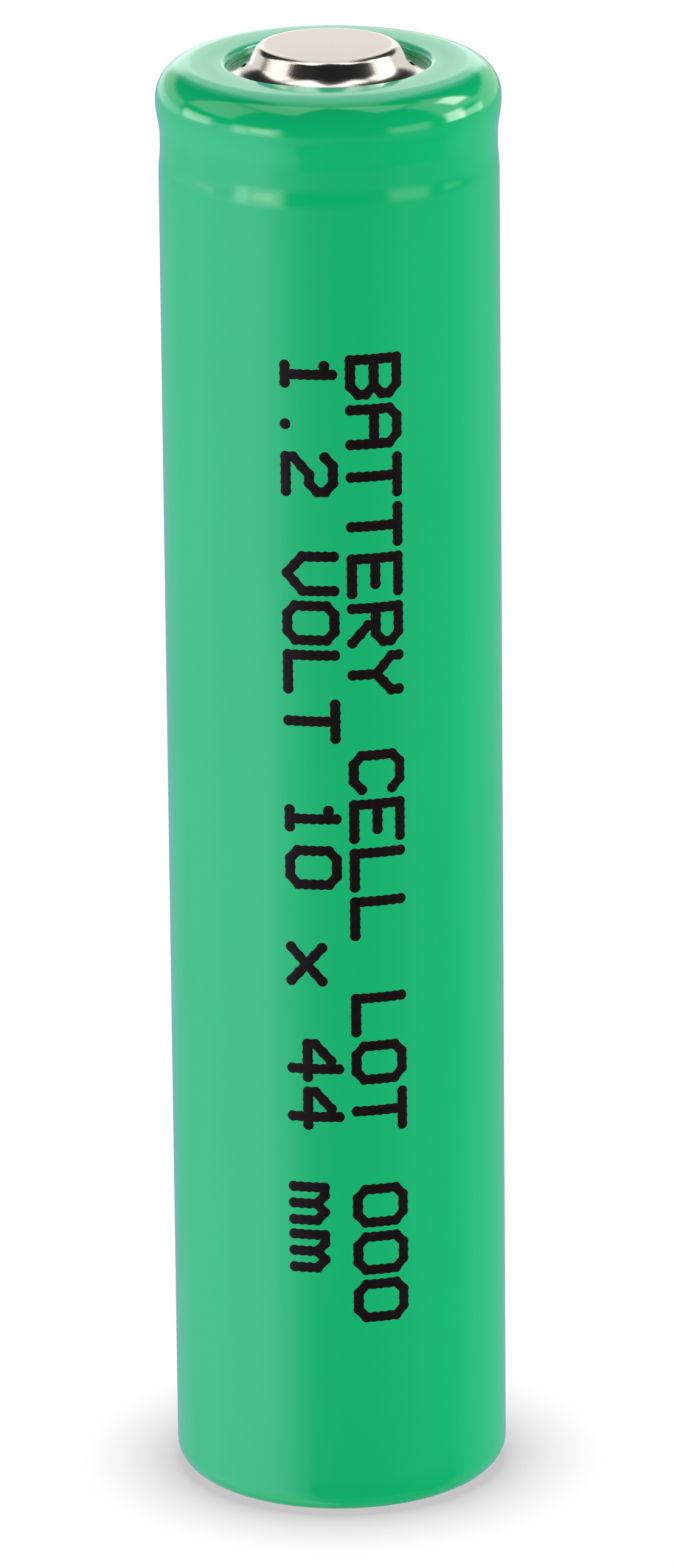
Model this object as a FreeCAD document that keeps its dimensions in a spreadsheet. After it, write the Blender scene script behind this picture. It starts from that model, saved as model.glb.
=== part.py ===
"""Cylindrical rechargeable cell of the HR03 (AAA) size, with a flat, low positive terminal.

Every piece of the cell is a sub-part of its own: the printed shrink sleeve, the deep-drawn steel can
with its rolled bead and crimped mouth, the sealed top (cap, resealable rubber vent, lid plate, gasket)
and the wound electrode roll with its insulators and current path.

Frame: millimetres, +Z along the cell's axis towards the positive terminal, origin at the centre of the
negative end, so the cell stands on the plane Z = 0. The front of the cell is -Y.
"""

import FreeCAD, Part
import math
import os
from types import SimpleNamespace

import Sketcher

# Driving dimensions: alias, millimetres (degrees for angles), meaning.
DIMENSIONS = [
    ("cell_height", 44.30, "negative face to positive face"),
    ("face_height", 43.80, "top of the sleeve's flat end face"),
    ("film", 0.14, "thickness of the shrink sleeve"),
    ("slack", 0.02, "gap left between curved faces that touch"),
    ("body_radius", 5.00, "outside of the sleeved body"),
    ("shoulder_radius", 5.07, "outside of the sleeve over the crimped head"),
    ("waist_radius", 4.95, "outside of the sleeve where it dips over the bead"),
    ("dip_bend", 3.00, "radius of the sleeve's soft bends at the dip"),
    ("shoulder_bend", 1.05, "outer bend of the sleeve at the shoulder"),
    ("foot_bend", 0.75, "outer bend of the sleeve at the negative end"),
    ("window_radius", 2.96, "round window of the sleeve at the positive end"),
    ("window_depth", 0.26, "how far the film turns down into the window"),
    ("window_bend", 0.19, "outer bend of the film at the window"),
    ("base_window", 3.90, "bare round of steel at the negative end"),
    ("washer", 0.12, "thickness of the insulating top washer"),
    ("washer_window", 3.16, "inner radius of the top washer"),
    ("washer_edge", 3.95, "outer radius of the top washer"),
    ("wall", 0.18, "wall of the can"),
    ("base_sheet", 0.25, "thickness of the can's base"),
    ("pad_radius", 3.30, "embossed contact pad of the can's base"),
    ("pad_slope", 0.20, "width of the slope round the pad"),
    ("crimp_bend", 0.85, "outer bend of the can's crimped mouth"),
    ("lip_radius", 3.45, "inner edge of the can's crimped lip"),
    ("bead_low", 40.66, "where the rolled bead leaves the wall"),
    ("bead_high", 42.11, "where the rolled bead returns to the wall"),
    ("bead_depth", 0.48, "depth of the rolled bead"),
    ("bead_slope", 0.42, "height of each flank of the bead"),
    ("bead_bend", 0.16, "bend at the bead's corners"),
    ("bead_offset", 0.10, "shift along the axis between the bead's outer and inner corners"),
    ("gasket_lip", 0.16, "thickness of the gasket's upper lip"),
    ("gasket_window", 3.37, "inner radius of the gasket's upper lip"),
    ("gasket_ledge", 0.45, "thickness of the gasket under the lid"),
    ("ledge_window", 3.75, "inner radius of the gasket under the lid"),
    ("sealant", 0.05, "thickness of the sealant film on the bead"),
    ("flange_radius", 4.30, "outer radius of the lid plate and of the cap"),
    ("cap_sheet", 0.20, "sheet thickness of the cap"),
    ("cap_crown", 2.08, "sharp corner of the cap's crown, before rounding"),
    ("cap_foot", 2.46, "sharp corner where the cap's wall meets its ring"),
    ("cap_ring_height", 43.50, "top of the ring round the cap's wall"),
    ("cap_ring_edge", 3.06, "sharp corner at the outside of the ring"),
    ("cap_step_foot", 3.22, "sharp corner where the ring steps down to the flange"),
    ("cap_lean", 0.13, "shift across the axis between the cap's outer and inner corners"),
    ("cap_crown_bend", 0.30, "outer bend of the cap's crown"),
    ("cap_foot_bend", 0.72, "bend between the cap's wall and its ring"),
    ("cap_step_bend", 0.12, "bends of the step down to the flange"),
    ("gas_hole", 0.16, "radius of a gas hole in the cap"),
    ("gas_hole_rise", 0.22, "height of the gas holes above the cap's ring"),
    ("lid_sheet", 0.25, "sheet thickness of the lid plate"),
    ("dish_radius", 2.00, "outside of the lid plate's dish"),
    ("dish_floor", 41.60, "underside of the lid plate's dish"),
    ("vent_radius", 0.50, "vent hole in the lid plate"),
    ("plug_radius", 1.45, "foot of the rubber vent plug"),
    ("plug_neck", 1.20, "neck of the rubber vent plug"),
    ("plug_step", 1.15, "height of the plug's foot"),
    ("plug_slope", 0.25, "height of the slope from the plug's foot to its neck"),
    ("tab_sheet", 0.12, "thickness of the lead tab"),
    ("tab_width", 2.40, "width of the lead tab"),
    ("tab_weld_end", 0.70, "where the lead tab ends beside the vent hole"),
    ("tab_tail", 1.60, "length of the lead tab past the axis, on the collector"),
    ("tab_bend_at", 2.60, "where the lead tab starts its bend"),
    ("tape", 0.05, "thickness of the tape round the tab's bend"),
    ("insulator", 0.20, "thickness of both insulators"),
    ("upper_window", 3.45, "inner radius of the upper insulator"),
    ("upper_edge", 4.62, "outer radius of the upper insulator"),
    ("lower_edge", 4.15, "outer radius of the lower insulator"),
    ("lower_hole", 0.80, "hole in the lower insulator"),
    ("collector_floor", 40.12, "underside of the collector disc"),
    ("collector", 0.18, "thickness of the collector disc"),
    ("collector_radius", 4.05, "outer radius of the collector disc"),
    ("collector_hole", 0.90, "hole in the collector disc"),
    ("slot_start", 1.40, "inner end of a collector slot"),
    ("slot_finish", 3.40, "outer end of a collector slot"),
    ("slot_width", 0.36, "width of a collector slot"),
    ("positive_sheet", 0.58, "thickness of the positive electrode"),
    ("negative_sheet", 0.32, "thickness of the negative electrode"),
    ("separator_sheet", 0.09, "thickness of a separator"),
    ("ribbon_sheet", 0.10, "thickness of the positive's edge ribbon"),
    ("positive_floor", 1.25, "lower edge of the positive electrode"),
    ("positive_top", 38.90, "upper edge of the positive electrode"),
    ("negative_floor", 0.95, "lower edge of the negative electrode"),
    ("negative_top", 39.00, "upper edge of the negative electrode"),
    ("separator_floor", 0.62, "lower edge of the separators"),
    ("separator_top", 39.60, "upper edge of the separators"),
    ("negative_tail", 92.0, "extra wrap of the negative electrode, in degrees"),
    ("separator_tail", 100.0, "extra wrap of the outer separator, in degrees"),
]
GAS_HOLES = 2
COLLECTOR_SLOTS = 4
HALF_TURNS = 6  # half turns in the wound roll
CLOSE = 1e-4  # how near an edge has to lie to the place that names it


class Size:
    """A length with the sheet formula that gives it, so that plain sums write the expressions."""

    def __init__(self, value, formula):
        self.value = value
        self.formula = formula

    def __add__(self, other):
        other = size_of(other)
        return Size(self.value + other.value, f"({self.formula} + {other.formula})")

    def __sub__(self, other):
        other = size_of(other)
        return Size(self.value - other.value, f"({self.formula} - {other.formula})")

    def __rsub__(self, other):
        return size_of(other) - self

    def __mul__(self, factor):
        factor = size_of(factor)
        return Size(self.value * factor.value, f"({self.formula} * {factor.formula})")

    def __neg__(self):
        return Size(-self.value, f"(0 - {self.formula})")

    __radd__ = __add__
    __rmul__ = __mul__


def size_of(number):
    """A plain number as a Size."""
    if isinstance(number, Size):
        return number
    return Size(float(number), repr(float(number)))


def root(size):
    """The square root of a Size."""
    return Size(math.sqrt(size.value), f"sqrt({size.formula})")


def write_sheet(doc):
    """Puts the driving dimensions in the document's sheet and returns them as named sizes."""
    sheet = doc.addObject("Spreadsheet::Sheet", "dims")
    for row, (alias, value, meaning) in enumerate(DIMENSIONS, start=1):
        sheet.set(f"A{row}", alias)
        sheet.set(f"B{row}", str(value))
        sheet.setAlias(f"B{row}", alias)
        sheet.set(f"C{row}", meaning)
    return SimpleNamespace(**{alias: Size(value, "dims." + alias) for alias, value, _ in DIMENSIONS})


doc = FreeCAD.newDocument("cell")
dim = write_sheet(doc)
doc.recompute()

# Heights and radii that several pieces share, worked out from the driving dimensions.
washer_top = dim.face_height - dim.film
crimp_top = washer_top - dim.washer
lip_floor = crimp_top - dim.wall
flange_top = lip_floor - dim.slack - dim.gasket_lip
cap_floor = flange_top - dim.cap_sheet
lid_floor = cap_floor - dim.lid_sheet
gasket_floor = lid_floor - dim.gasket_ledge
cap_ceiling = dim.cell_height - dim.cap_sheet
cap_ring_floor = dim.cap_ring_height - dim.cap_sheet
dish_seat = dim.dish_floor + dim.lid_sheet
can_radius = dim.body_radius - dim.film - dim.slack
bore_radius = can_radius - dim.wall
collector_top = dim.collector_floor + dim.collector
base_inside = dim.film + dim.base_sheet
pitch = dim.positive_sheet + dim.negative_sheet + 2 * dim.separator_sheet + 4 * dim.slack


# Drawing: every sketch is an outline of named corners, straight or arced between them.


def bind(sketch, constraint, size):
    """Adds a constraint whose value follows the sheet."""
    index = sketch.addConstraint(constraint)
    sketch.setExpression(f"Constraints[{index}]", size.formula)


def arc_between(start, end, radius, turn):
    """The shorter arc from start to end; turn is 1 anticlockwise and -1 clockwise."""
    chord = end.sub(start)
    middle = start.add(end).multiply(0.5)
    rise = math.sqrt(max(radius**2 - (chord.Length / 2) ** 2, 0.0))
    sideways = FreeCAD.Vector(-chord.y, chord.x, 0).normalize()
    centre = middle.add(sideways.multiply(rise * turn))
    circle = Part.Circle(centre, FreeCAD.Vector(0, 0, 1), radius)
    first, last = (start, end) if turn > 0 else (end, start)
    return Part.ArcOfCircle(circle, circle.parameter(first), circle.parameter(last))


def draw_outline(sketch, corners):
    """Draws a closed outline. A corner is (x, y), or (x, y, radius, turn) where an arc leads to the next."""
    points = [FreeCAD.Vector(size_of(c[0]).value, size_of(c[1]).value, 0) for c in corners]
    count = len(corners)
    turns = []
    for index, corner in enumerate(corners):
        start, end = points[index], points[(index + 1) % count]
        turns.append(corner[3] if len(corner) > 2 else 0)
        if turns[-1]:
            sketch.addGeometry(arc_between(start, end, corner[2].value, turns[-1]), False)
        else:
            sketch.addGeometry(Part.LineSegment(start, end), False)
    for index, corner in enumerate(corners):
        before = (index - 1) % count
        # A clockwise arc is stored the other way round, so its ends swap names.
        here = 2 if turns[index] < 0 else 1
        there = 1 if turns[before] < 0 else 2
        sketch.addConstraint(Sketcher.Constraint("Coincident", index, here, before, there))
        place_corner(sketch, index, here, size_of(corner[0]), size_of(corner[1]))
        if turns[index]:
            bind(sketch, Sketcher.Constraint("Radius", index, corner[2].value), corner[2])


def place_corner(sketch, edge, end, x, y):
    """Holds one end of an edge at (x, y): on an axis where the value is 0, else at a bound distance."""
    for kind, axis, size in (("DistanceX", -2, x), ("DistanceY", -1, y)):
        if abs(size.value) < CLOSE:
            sketch.addConstraint(Sketcher.Constraint("PointOnObject", edge, end, axis))
        elif size.value > 0:
            bind(sketch, Sketcher.Constraint(kind, -1, 1, edge, end, size.value), size)
        else:
            bind(sketch, Sketcher.Constraint(kind, edge, end, -1, 1, -size.value), -size)


def backwards(path):
    """The same path walked the other way: each arc is given at its other end, with its turn reversed."""
    back = []
    for corner, before in zip(reversed(path[1:]), reversed(path[:-1])):
        arc = (before[2], -before[3]) if len(before) > 2 else ()
        back.append((corner[0], corner[1]) + arc)
    back.append((path[0][0], path[0][1]))
    return back


def new_sketch(body, plane, corners):
    """A sketch on one of the body's own origin planes, with one closed outline."""
    sketch = body.newObject("Sketcher::SketchObject", body.Name + "_sketch")
    origin = [feature for feature in body.Origin.OriginFeatures if feature.Role == plane]
    sketch.AttachmentSupport = (origin[0], "")
    sketch.MapMode = "FlatFace"
    draw_outline(sketch, corners)
    doc.recompute()
    return sketch


def new_body(name):
    body = doc.addObject("PartDesign::Body", name)
    body.Label = name
    return body


def turned(name, corners, bends=()):
    """A piece turned about the cell's axis from (radius, height) corners, with some corners rounded."""
    body = new_body(name)
    sketch = new_sketch(body, "XZ_Plane", corners)
    revolve = body.newObject("PartDesign::Revolution", name + "_turn")
    revolve.Profile = sketch
    revolve.ReferenceAxis = (sketch, ["V_Axis"])
    revolve.Angle = 360
    doc.recompute()
    for radius, height, bend in bends:
        round_edge(body, size_of(radius).value, size_of(height).value, bend)
    return body


def round_edge(body, radius, height, bend):
    """Rounds the circular edge of that radius at that height."""
    base = body.Tip
    names = []
    for index, edge in enumerate(base.Shape.Edges, start=1):
        curve = edge.Curve
        if isinstance(curve, Part.Circle) and abs(curve.Radius - radius) < CLOSE:
            if abs(curve.Center.z - height) < CLOSE:
                names.append(f"Edge{index}")
    if not names:
        raise ValueError(f"{body.Name} has no edge of radius {radius} at height {height}")
    fillet = body.newObject("PartDesign::Fillet", body.Name + "_bend")
    fillet.Base = (base, names)
    fillet.Radius = bend.value
    fillet.setExpression("Radius", bend.formula)
    doc.recompute()
    if not fillet.isValid() or fillet.Shape.isNull() or not fillet.Shape.Edges:
        raise ValueError(f"{body.Name} can't be rounded by {bend.value} at radius {radius}, height {height}")


def padded_outline(name, plane, corners, length, floor=None, centred=False):
    """A piece of constant section: an outline swept straight by length, from floor up or about its plane."""
    body = new_body(name)
    sketch = new_sketch(body, plane, corners)
    if floor is not None:
        sketch.setExpression(".AttachmentOffset.Base.z", floor.formula)
    pad = body.newObject("PartDesign::Pad", name + "_pad")
    pad.Profile = sketch
    pad.Length = length.value
    pad.setExpression("Length", length.formula)
    if centred:
        pad.Midplane = True
    doc.recompute()
    return body


def cut_round(body, name, corners, plane, count):
    """Cuts an outline out of the body on one side of its axis, then repeats the cut round the axis."""
    before = body.Shape.Volume
    sketch = new_sketch(body, plane, corners)
    pocket = body.newObject("PartDesign::Pocket", name)
    pocket.Profile = sketch
    pocket.Type = "ThroughAll"
    pocket.Reversed = True
    doc.recompute()
    if pocket.Shape.Volume > before - CLOSE:
        pocket.Reversed = False
        doc.recompute()
    if pocket.Shape.Volume > before - CLOSE:
        raise ValueError(f"{name} cuts nothing")
    pattern = body.newObject("PartDesign::PolarPattern", name + "_ring")
    pattern.Originals = [pocket]
    axis = [feature for feature in body.Origin.OriginFeatures if feature.Role == "Z_Axis"]
    pattern.Axis = (axis[0], [""])
    pattern.Angle = 360
    pattern.Occurrences = count
    body.Tip = pattern
    doc.recompute()


# The outside of the cell


def soft_step(inner, outer):
    """Half the height over which two soft bends carry the sleeve from one radius to another."""
    depth = outer - inner
    return root(dim.dip_bend * depth - depth * depth * 0.25)


def sleeve_face(inset):
    """One face of the film, from the negative end round the foot and shoulder to the window."""
    lower = soft_step(dim.waist_radius, dim.body_radius)
    upper = soft_step(dim.waist_radius, dim.shoulder_radius)
    shoulder_low = dim.face_height - dim.shoulder_bend
    waist_height = shoulder_low - upper * 2
    soft = dim.dip_bend
    return [
        (dim.base_window, inset),
        (dim.body_radius - dim.foot_bend, inset, dim.foot_bend - inset, 1),
        (dim.body_radius - inset, dim.foot_bend),
        (dim.body_radius - inset, waist_height - lower * 2, soft, 1),
        ((dim.body_radius + dim.waist_radius) * 0.5 - inset, waist_height - lower, soft, -1),
        (dim.waist_radius - inset, waist_height, soft, -1),
        ((dim.waist_radius + dim.shoulder_radius) * 0.5 - inset, waist_height + upper, soft, 1),
        (dim.shoulder_radius - inset, shoulder_low, dim.shoulder_bend - inset, 1),
        (dim.shoulder_radius - dim.shoulder_bend, dim.face_height - inset),
        (dim.window_radius + dim.window_bend, dim.face_height - inset, dim.window_bend - inset, 1),
        (dim.window_radius + inset, dim.face_height - dim.window_bend),
        (dim.window_radius + inset, dim.face_height - dim.window_depth),
    ]


def shrink_sleeve():
    """Printed PVC film, shrunk over the can from the base's rim to the window round the terminal."""
    return turned("shrink_sleeve", sleeve_face(size_of(0)) + backwards(sleeve_face(dim.film)))


def ring(name, inner, outer, floor, top):
    """A flat ring."""
    return turned(name, [(inner, floor), (outer, floor), (outer, top), (inner, top)])


def steel_can():
    """Deep-drawn nickel-plated can: embossed base, rolled bead under the seal, mouth crimped inwards."""
    pad_edge = dim.pad_radius + dim.pad_slope
    bead_radius = can_radius - dim.bead_depth
    bead_inside = bead_radius - dim.wall
    shift = dim.bead_offset
    bead_from, bead_to = dim.bead_low + dim.bead_slope, dim.bead_high - dim.bead_slope
    corners = [
        (size_of(0), size_of(0)),
        (dim.pad_radius, size_of(0)),
        (pad_edge, dim.film),
        (can_radius, dim.film),
        (can_radius, dim.bead_low),
        (bead_radius, bead_from),
        (bead_radius, bead_to),
        (can_radius, dim.bead_high),
        (can_radius, crimp_top),
        (dim.lip_radius, crimp_top),
        (dim.lip_radius, lip_floor),
        (bore_radius, lip_floor),
        (bore_radius, dim.bead_high + shift),
        (bead_inside, bead_to + shift),
        (bead_inside, bead_from - shift),
        (bore_radius, dim.bead_low - shift),
        (bore_radius, base_inside),
        (pad_edge, base_inside),
        (dim.pad_radius, dim.base_sheet),
        (size_of(0), dim.base_sheet),
    ]
    corner_bend = dim.foot_bend - dim.film - dim.slack
    bends = [
        (can_radius, dim.film, corner_bend),
        (bore_radius, base_inside, corner_bend - dim.wall),
        (can_radius, crimp_top, dim.crimp_bend),
        (bore_radius, lip_floor, dim.crimp_bend - dim.wall),
        (can_radius, dim.bead_low, dim.bead_bend),
        (bead_radius, bead_from, dim.bead_bend),
        (bead_radius, bead_to, dim.bead_bend),
        (can_radius, dim.bead_high, dim.bead_bend),
        (bead_inside, bead_from - shift, dim.bead_bend),
        (bead_inside, bead_to + shift, dim.bead_bend),
    ]
    return turned("steel_can", corners, bends)


# The sealed top


def terminal_cap():
    """Positive terminal: a flat crown on a wall that flares, a ring round it and a flange a step lower."""
    lean = dim.cap_lean
    corners = [
        (size_of(0), cap_ceiling),
        (dim.cap_crown - lean, cap_ceiling),
        (dim.cap_foot - lean, cap_ring_floor),
        (dim.cap_ring_edge - lean, cap_ring_floor),
        (dim.cap_step_foot - lean, cap_floor),
        (dim.flange_radius, cap_floor),
        (dim.flange_radius, flange_top),
        (dim.cap_step_foot, flange_top),
        (dim.cap_ring_edge, dim.cap_ring_height),
        (dim.cap_foot, dim.cap_ring_height),
        (dim.cap_crown, dim.cell_height),
        (size_of(0), dim.cell_height),
    ]
    bends = [
        (dim.cap_crown, dim.cell_height, dim.cap_crown_bend),
        (dim.cap_crown - lean, cap_ceiling, dim.cap_crown_bend - dim.cap_sheet),
        (dim.cap_foot, dim.cap_ring_height, dim.cap_foot_bend),
        (dim.cap_foot - lean, cap_ring_floor, dim.cap_foot_bend + dim.cap_sheet),
        (dim.cap_ring_edge, dim.cap_ring_height, dim.cap_step_bend),
        (dim.cap_step_foot, flange_top, dim.cap_step_bend),
    ]
    body = turned("terminal_cap", corners, bends)
    height = dim.cap_ring_height + dim.gas_hole_rise
    hole = [
        (dim.gas_hole, height, dim.gas_hole, 1),
        (size_of(0), height + dim.gas_hole, dim.gas_hole, 1),
        (-dim.gas_hole, height, dim.gas_hole, 1),
        (size_of(0), height - dim.gas_hole, dim.gas_hole, 1),
    ]
    cut_round(body, "gas_holes", hole, "YZ_Plane", GAS_HOLES)
    return body


def lid_plate():
    """Sealing plate: its flange carries the cap, and its dish has the vent hole and holds the plug."""
    inside = dim.dish_radius - dim.lid_sheet
    corners = [
        (dim.vent_radius, dim.dish_floor),
        (dim.dish_radius, dim.dish_floor),
        (dim.dish_radius, lid_floor),
        (dim.flange_radius, lid_floor),
        (dim.flange_radius, cap_floor),
        (inside, cap_floor),
        (inside, dish_seat),
        (dim.vent_radius, dish_seat),
    ]
    tight = dim.lid_sheet * 0.5
    wide = tight + dim.lid_sheet
    bends = [
        (dim.dish_radius, dim.dish_floor, wide),
        (inside, dish_seat, tight),
        (dim.dish_radius, lid_floor, tight),
        (inside, cap_floor, wide),
    ]
    return turned("lid_plate", corners, bends)


def vent_plug():
    """Resealable vent: a stepped rubber plug pressed on the vent hole by the cap."""
    step = dish_seat + dim.plug_step
    corners = [
        (size_of(0), dish_seat),
        (dim.plug_radius, dish_seat),
        (dim.plug_radius, step),
        (dim.plug_neck, step + dim.plug_slope),
        (dim.plug_neck, cap_ceiling),
        (size_of(0), cap_ceiling),
    ]
    return turned("vent_plug", corners)


def sealing_gasket():
    """Nylon ring that grips the edge of the lid and cap, squeezed by the can's crimp."""
    outside = bore_radius - dim.slack
    pocket = dim.flange_radius + dim.slack
    top = lip_floor - dim.slack
    corners = [
        (dim.ledge_window, gasket_floor),
        (outside, gasket_floor),
        (outside, top),
        (dim.gasket_window, top),
        (dim.gasket_window, flange_top),
        (pocket, flange_top),
        (pocket, lid_floor),
        (dim.ledge_window, lid_floor),
    ]
    bends = [(outside, top, dim.crimp_bend - dim.wall)]
    return turned("sealing_gasket", corners, bends)


# The current path from the roll to the lid


def collector_disc():
    """Slotted plate welded to the upper edge of the positive electrode."""
    body = ring(
        "collector_disc", dim.collector_hole, dim.collector_radius, dim.collector_floor, collector_top
    )
    half = dim.slot_width * 0.5
    slot = [
        (dim.slot_start, -half),
        (dim.slot_finish, -half),
        (dim.slot_finish, half),
        (dim.slot_start, half),
    ]
    cut_round(body, "collector_slots", slot, "XY_Plane", COLLECTOR_SLOTS)
    return body


def u_bend(start_low, start_high, low, high, sheet):
    """Outline of a strip folded back on itself, from a lower run to an upper one."""
    outer = (high - low) * 0.5
    inner = outer - sheet
    middle = low + outer
    at = dim.tab_bend_at
    return [
        (start_low, low),
        (at, low, outer, 1),
        (at + outer, middle, outer, 1),
        (at, high),
        (start_high, high),
        (start_high, high - sheet),
        (at, high - sheet, inner, -1),
        (at + inner, middle, inner, -1),
        (at, low + sheet),
        (start_low, low + sheet),
    ]


def lead_tab():
    """Nickel strip from the collector, folded back on itself, to the lid's dish beside the vent hole."""
    corners = u_bend(-dim.tab_tail, dim.tab_weld_end, collector_top, dim.dish_floor, dim.tab_sheet)
    return padded_outline("lead_tab", "XZ_Plane", corners, dim.tab_width, centred=True)


def lead_tape():
    """Insulating tape round the outside of the tab's bend."""
    tab_outer = (dim.dish_floor - collector_top) * 0.5
    inner = tab_outer + dim.slack
    outer = inner + dim.tape
    middle = collector_top + tab_outer
    at = dim.tab_bend_at
    corners = [
        (at + outer, middle, outer, 1),
        (at, middle + outer),
        (at, middle + inner, inner, -1),
        (at + inner, middle),
    ]
    return padded_outline("lead_tape", "XZ_Plane", corners, dim.tab_width, centred=True)


# The wound roll: half turns of growing radius about two centres, so that neighbouring layers stay parallel.


def half_turn(index, offset):
    """Centre and radius of one half turn of the roll, for a face that lies offset outside its core.

    Half turns with an odd index cross the front and are centred on the cell's axis. The last one
    brings the outer face of the negative electrode up to the can.
    """
    last_core = bore_radius - dim.slack - (pitch - dim.slack)
    radius = last_core - pitch * 0.5 * (HALF_TURNS - 1 - index) + offset
    centre = size_of(0) if index % 2 else -(pitch * 0.5)
    return centre, radius


def spiral_corners(offset, first, tail):
    """Corners of one face of a wound strip, by quarter turns from its first half turn outwards."""
    corners = []
    for index in range(first, HALF_TURNS):
        centre, radius = half_turn(index, offset)
        side = -1 if index % 2 else 1
        corners.append((centre + radius * side, size_of(0), radius, 1))
        corners.append((centre, radius * side, radius, 1))
    corners.append((radius, size_of(0)))
    if tail is not None:
        corners[-1] = (radius, size_of(0), radius, 1)
        corners.append((on_circle(radius, tail, "cos"), on_circle(radius, tail, "sin")))
    return corners


def on_circle(radius, angle, function):
    """The cosine or sine of an angle in degrees, times a radius."""
    share = getattr(math, function)(math.radians(angle.value))
    return Size(radius.value * share, f"({radius.formula} * {function}({angle.formula} * 1 deg))")


def wound_strip(name, offset, sheet, first, floor, top, tail=None):
    """A strip of the roll: the area between its inner and outer faces, swept from floor to top."""
    inner = spiral_corners(offset, first, tail)
    outer = spiral_corners(offset + sheet, first, tail)
    return padded_outline(name, "XY_Plane", inner + backwards(outer), top - floor, floor=floor)


def wound_roll():
    """Separator, positive, separator and negative, wound together."""
    step = dim.slack
    positive_at = dim.separator_sheet + step
    outer_separator_at = positive_at + dim.positive_sheet + step
    negative_at = outer_separator_at + dim.separator_sheet + step
    ribbon_at = positive_at + (dim.positive_sheet - dim.ribbon_sheet) * 0.5
    low, high = dim.separator_floor, dim.separator_top
    return [
        wound_strip("inner_separator", size_of(0), dim.separator_sheet, 0, low, high),
        wound_strip(
            "positive_electrode", positive_at, dim.positive_sheet, 1, dim.positive_floor, dim.positive_top
        ),
        wound_strip(
            "outer_separator", outer_separator_at, dim.separator_sheet, 0, low, high, dim.separator_tail
        ),
        wound_strip(
            "negative_electrode",
            negative_at,
            dim.negative_sheet,
            0,
            dim.negative_floor,
            dim.negative_top,
            dim.negative_tail,
        ),
        wound_strip(
            "edge_ribbon", ribbon_at, dim.ribbon_sheet, 1, dim.positive_top, dim.collector_floor
        ),
    ]


def build():
    """Every sub-part of the cell, from the outside in."""
    upper_insulator = ring(
        "upper_insulator", dim.upper_window, dim.upper_edge, collector_top, collector_top + dim.insulator
    )
    lower_insulator = ring(
        "lower_insulator", dim.lower_hole, dim.lower_edge, base_inside, base_inside + dim.insulator
    )
    bead_inside = can_radius - dim.bead_depth
    sealant_film = ring(
        "sealant_film", bead_inside, bore_radius - dim.slack, gasket_floor - dim.sealant, gasket_floor
    )
    return [
        shrink_sleeve(),
        ring("top_washer", dim.washer_window, dim.washer_edge, crimp_top, washer_top),
        steel_can(),
        terminal_cap(),
        vent_plug(),
        lid_plate(),
        sealing_gasket(),
        sealant_film,
        lead_tab(),
        lead_tape(),
        collector_disc(),
        upper_insulator,
        lower_insulator,
    ] + wound_roll()


def check(parts):
    """Stops with a message if any object failed to build or any sub-part isn't a sound solid."""
    for item in doc.Objects:
        if "Invalid" in item.State or "Error" in item.State:
            raise ValueError(f"{item.Name} failed: {item.State}")
    for body in parts:
        shape = body.Shape
        if shape.isNull() or not shape.isValid() or len(shape.Solids) != 1:
            raise ValueError(f"{body.Label} isn't one valid solid")


doc.recompute()
pieces = build()
doc.recompute()
check(pieces)
os.makedirs("parts", exist_ok=True)
for piece in pieces:
    piece.Shape.exportStep(f"parts/{piece.Label}.step")
    box = piece.Shape.BoundBox
    print(f"{piece.Label:20s} volume {piece.Shape.Volume:8.2f}  height {box.ZMin:6.2f} to {box.ZMax:6.2f}")
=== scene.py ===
# %% [markdown]
# # Dressing a slim rechargeable cell
#
# The real object is a small round battery cell: a steel can in a glossy green shrink sleeve, with a low
# nickel-plated button on top and two lines of black ink-jet print along its side. The CAD model already
# holds every piece at its true size, so this lesson only makes what the eye lands on: the film, the
# button, the base of the can, the ink, the light that falls on them, and a finish for every inner piece.
#
# The first cell loads that model. Each of its nodes arrives as a mesh at the origin, and everything made
# here goes where those nodes say.

# %% Load the frame
import math

import bmesh
import bpy
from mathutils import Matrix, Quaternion, Vector


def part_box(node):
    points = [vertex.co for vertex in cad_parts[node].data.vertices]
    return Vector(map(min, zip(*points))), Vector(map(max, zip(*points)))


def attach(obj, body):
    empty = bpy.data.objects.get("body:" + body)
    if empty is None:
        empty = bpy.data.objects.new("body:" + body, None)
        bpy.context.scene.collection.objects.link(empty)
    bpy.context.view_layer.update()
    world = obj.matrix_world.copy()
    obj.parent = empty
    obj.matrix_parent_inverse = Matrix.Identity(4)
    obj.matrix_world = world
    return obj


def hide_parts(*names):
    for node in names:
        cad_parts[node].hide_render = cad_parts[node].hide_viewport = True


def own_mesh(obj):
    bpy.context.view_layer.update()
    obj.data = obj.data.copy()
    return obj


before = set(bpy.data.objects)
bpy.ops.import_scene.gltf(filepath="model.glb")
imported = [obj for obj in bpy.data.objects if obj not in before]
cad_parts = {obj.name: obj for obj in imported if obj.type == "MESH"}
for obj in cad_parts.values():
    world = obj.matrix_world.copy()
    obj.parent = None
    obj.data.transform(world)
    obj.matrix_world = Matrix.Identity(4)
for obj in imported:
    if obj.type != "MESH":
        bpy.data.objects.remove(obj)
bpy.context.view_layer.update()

MM = 0.001

# %% [markdown]
# ## The camera
#
# A long lens far away keeps the two sides of the cell nearly parallel, which is how small products are
# shot. The camera looks down a little, so that the button shows, and it is rolled by about half a degree.
# The place is worked out from a distance and an elevation, which are easier to think about than x, y, z.

# %% Camera
CAMERA_DISTANCE = 310.7 * MM
CAMERA_ELEVATION = math.radians(18.43)
CAMERA_ROLL = math.radians(-0.58)
AIM = Vector((0.05, 0.0, 21.54)) * MM
PIVOT = Vector((0.0, 0.0, 21.36)) * MM
FOCAL_LENGTH = 238.8  # millimetres, on a sensor 36 mm high

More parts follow.
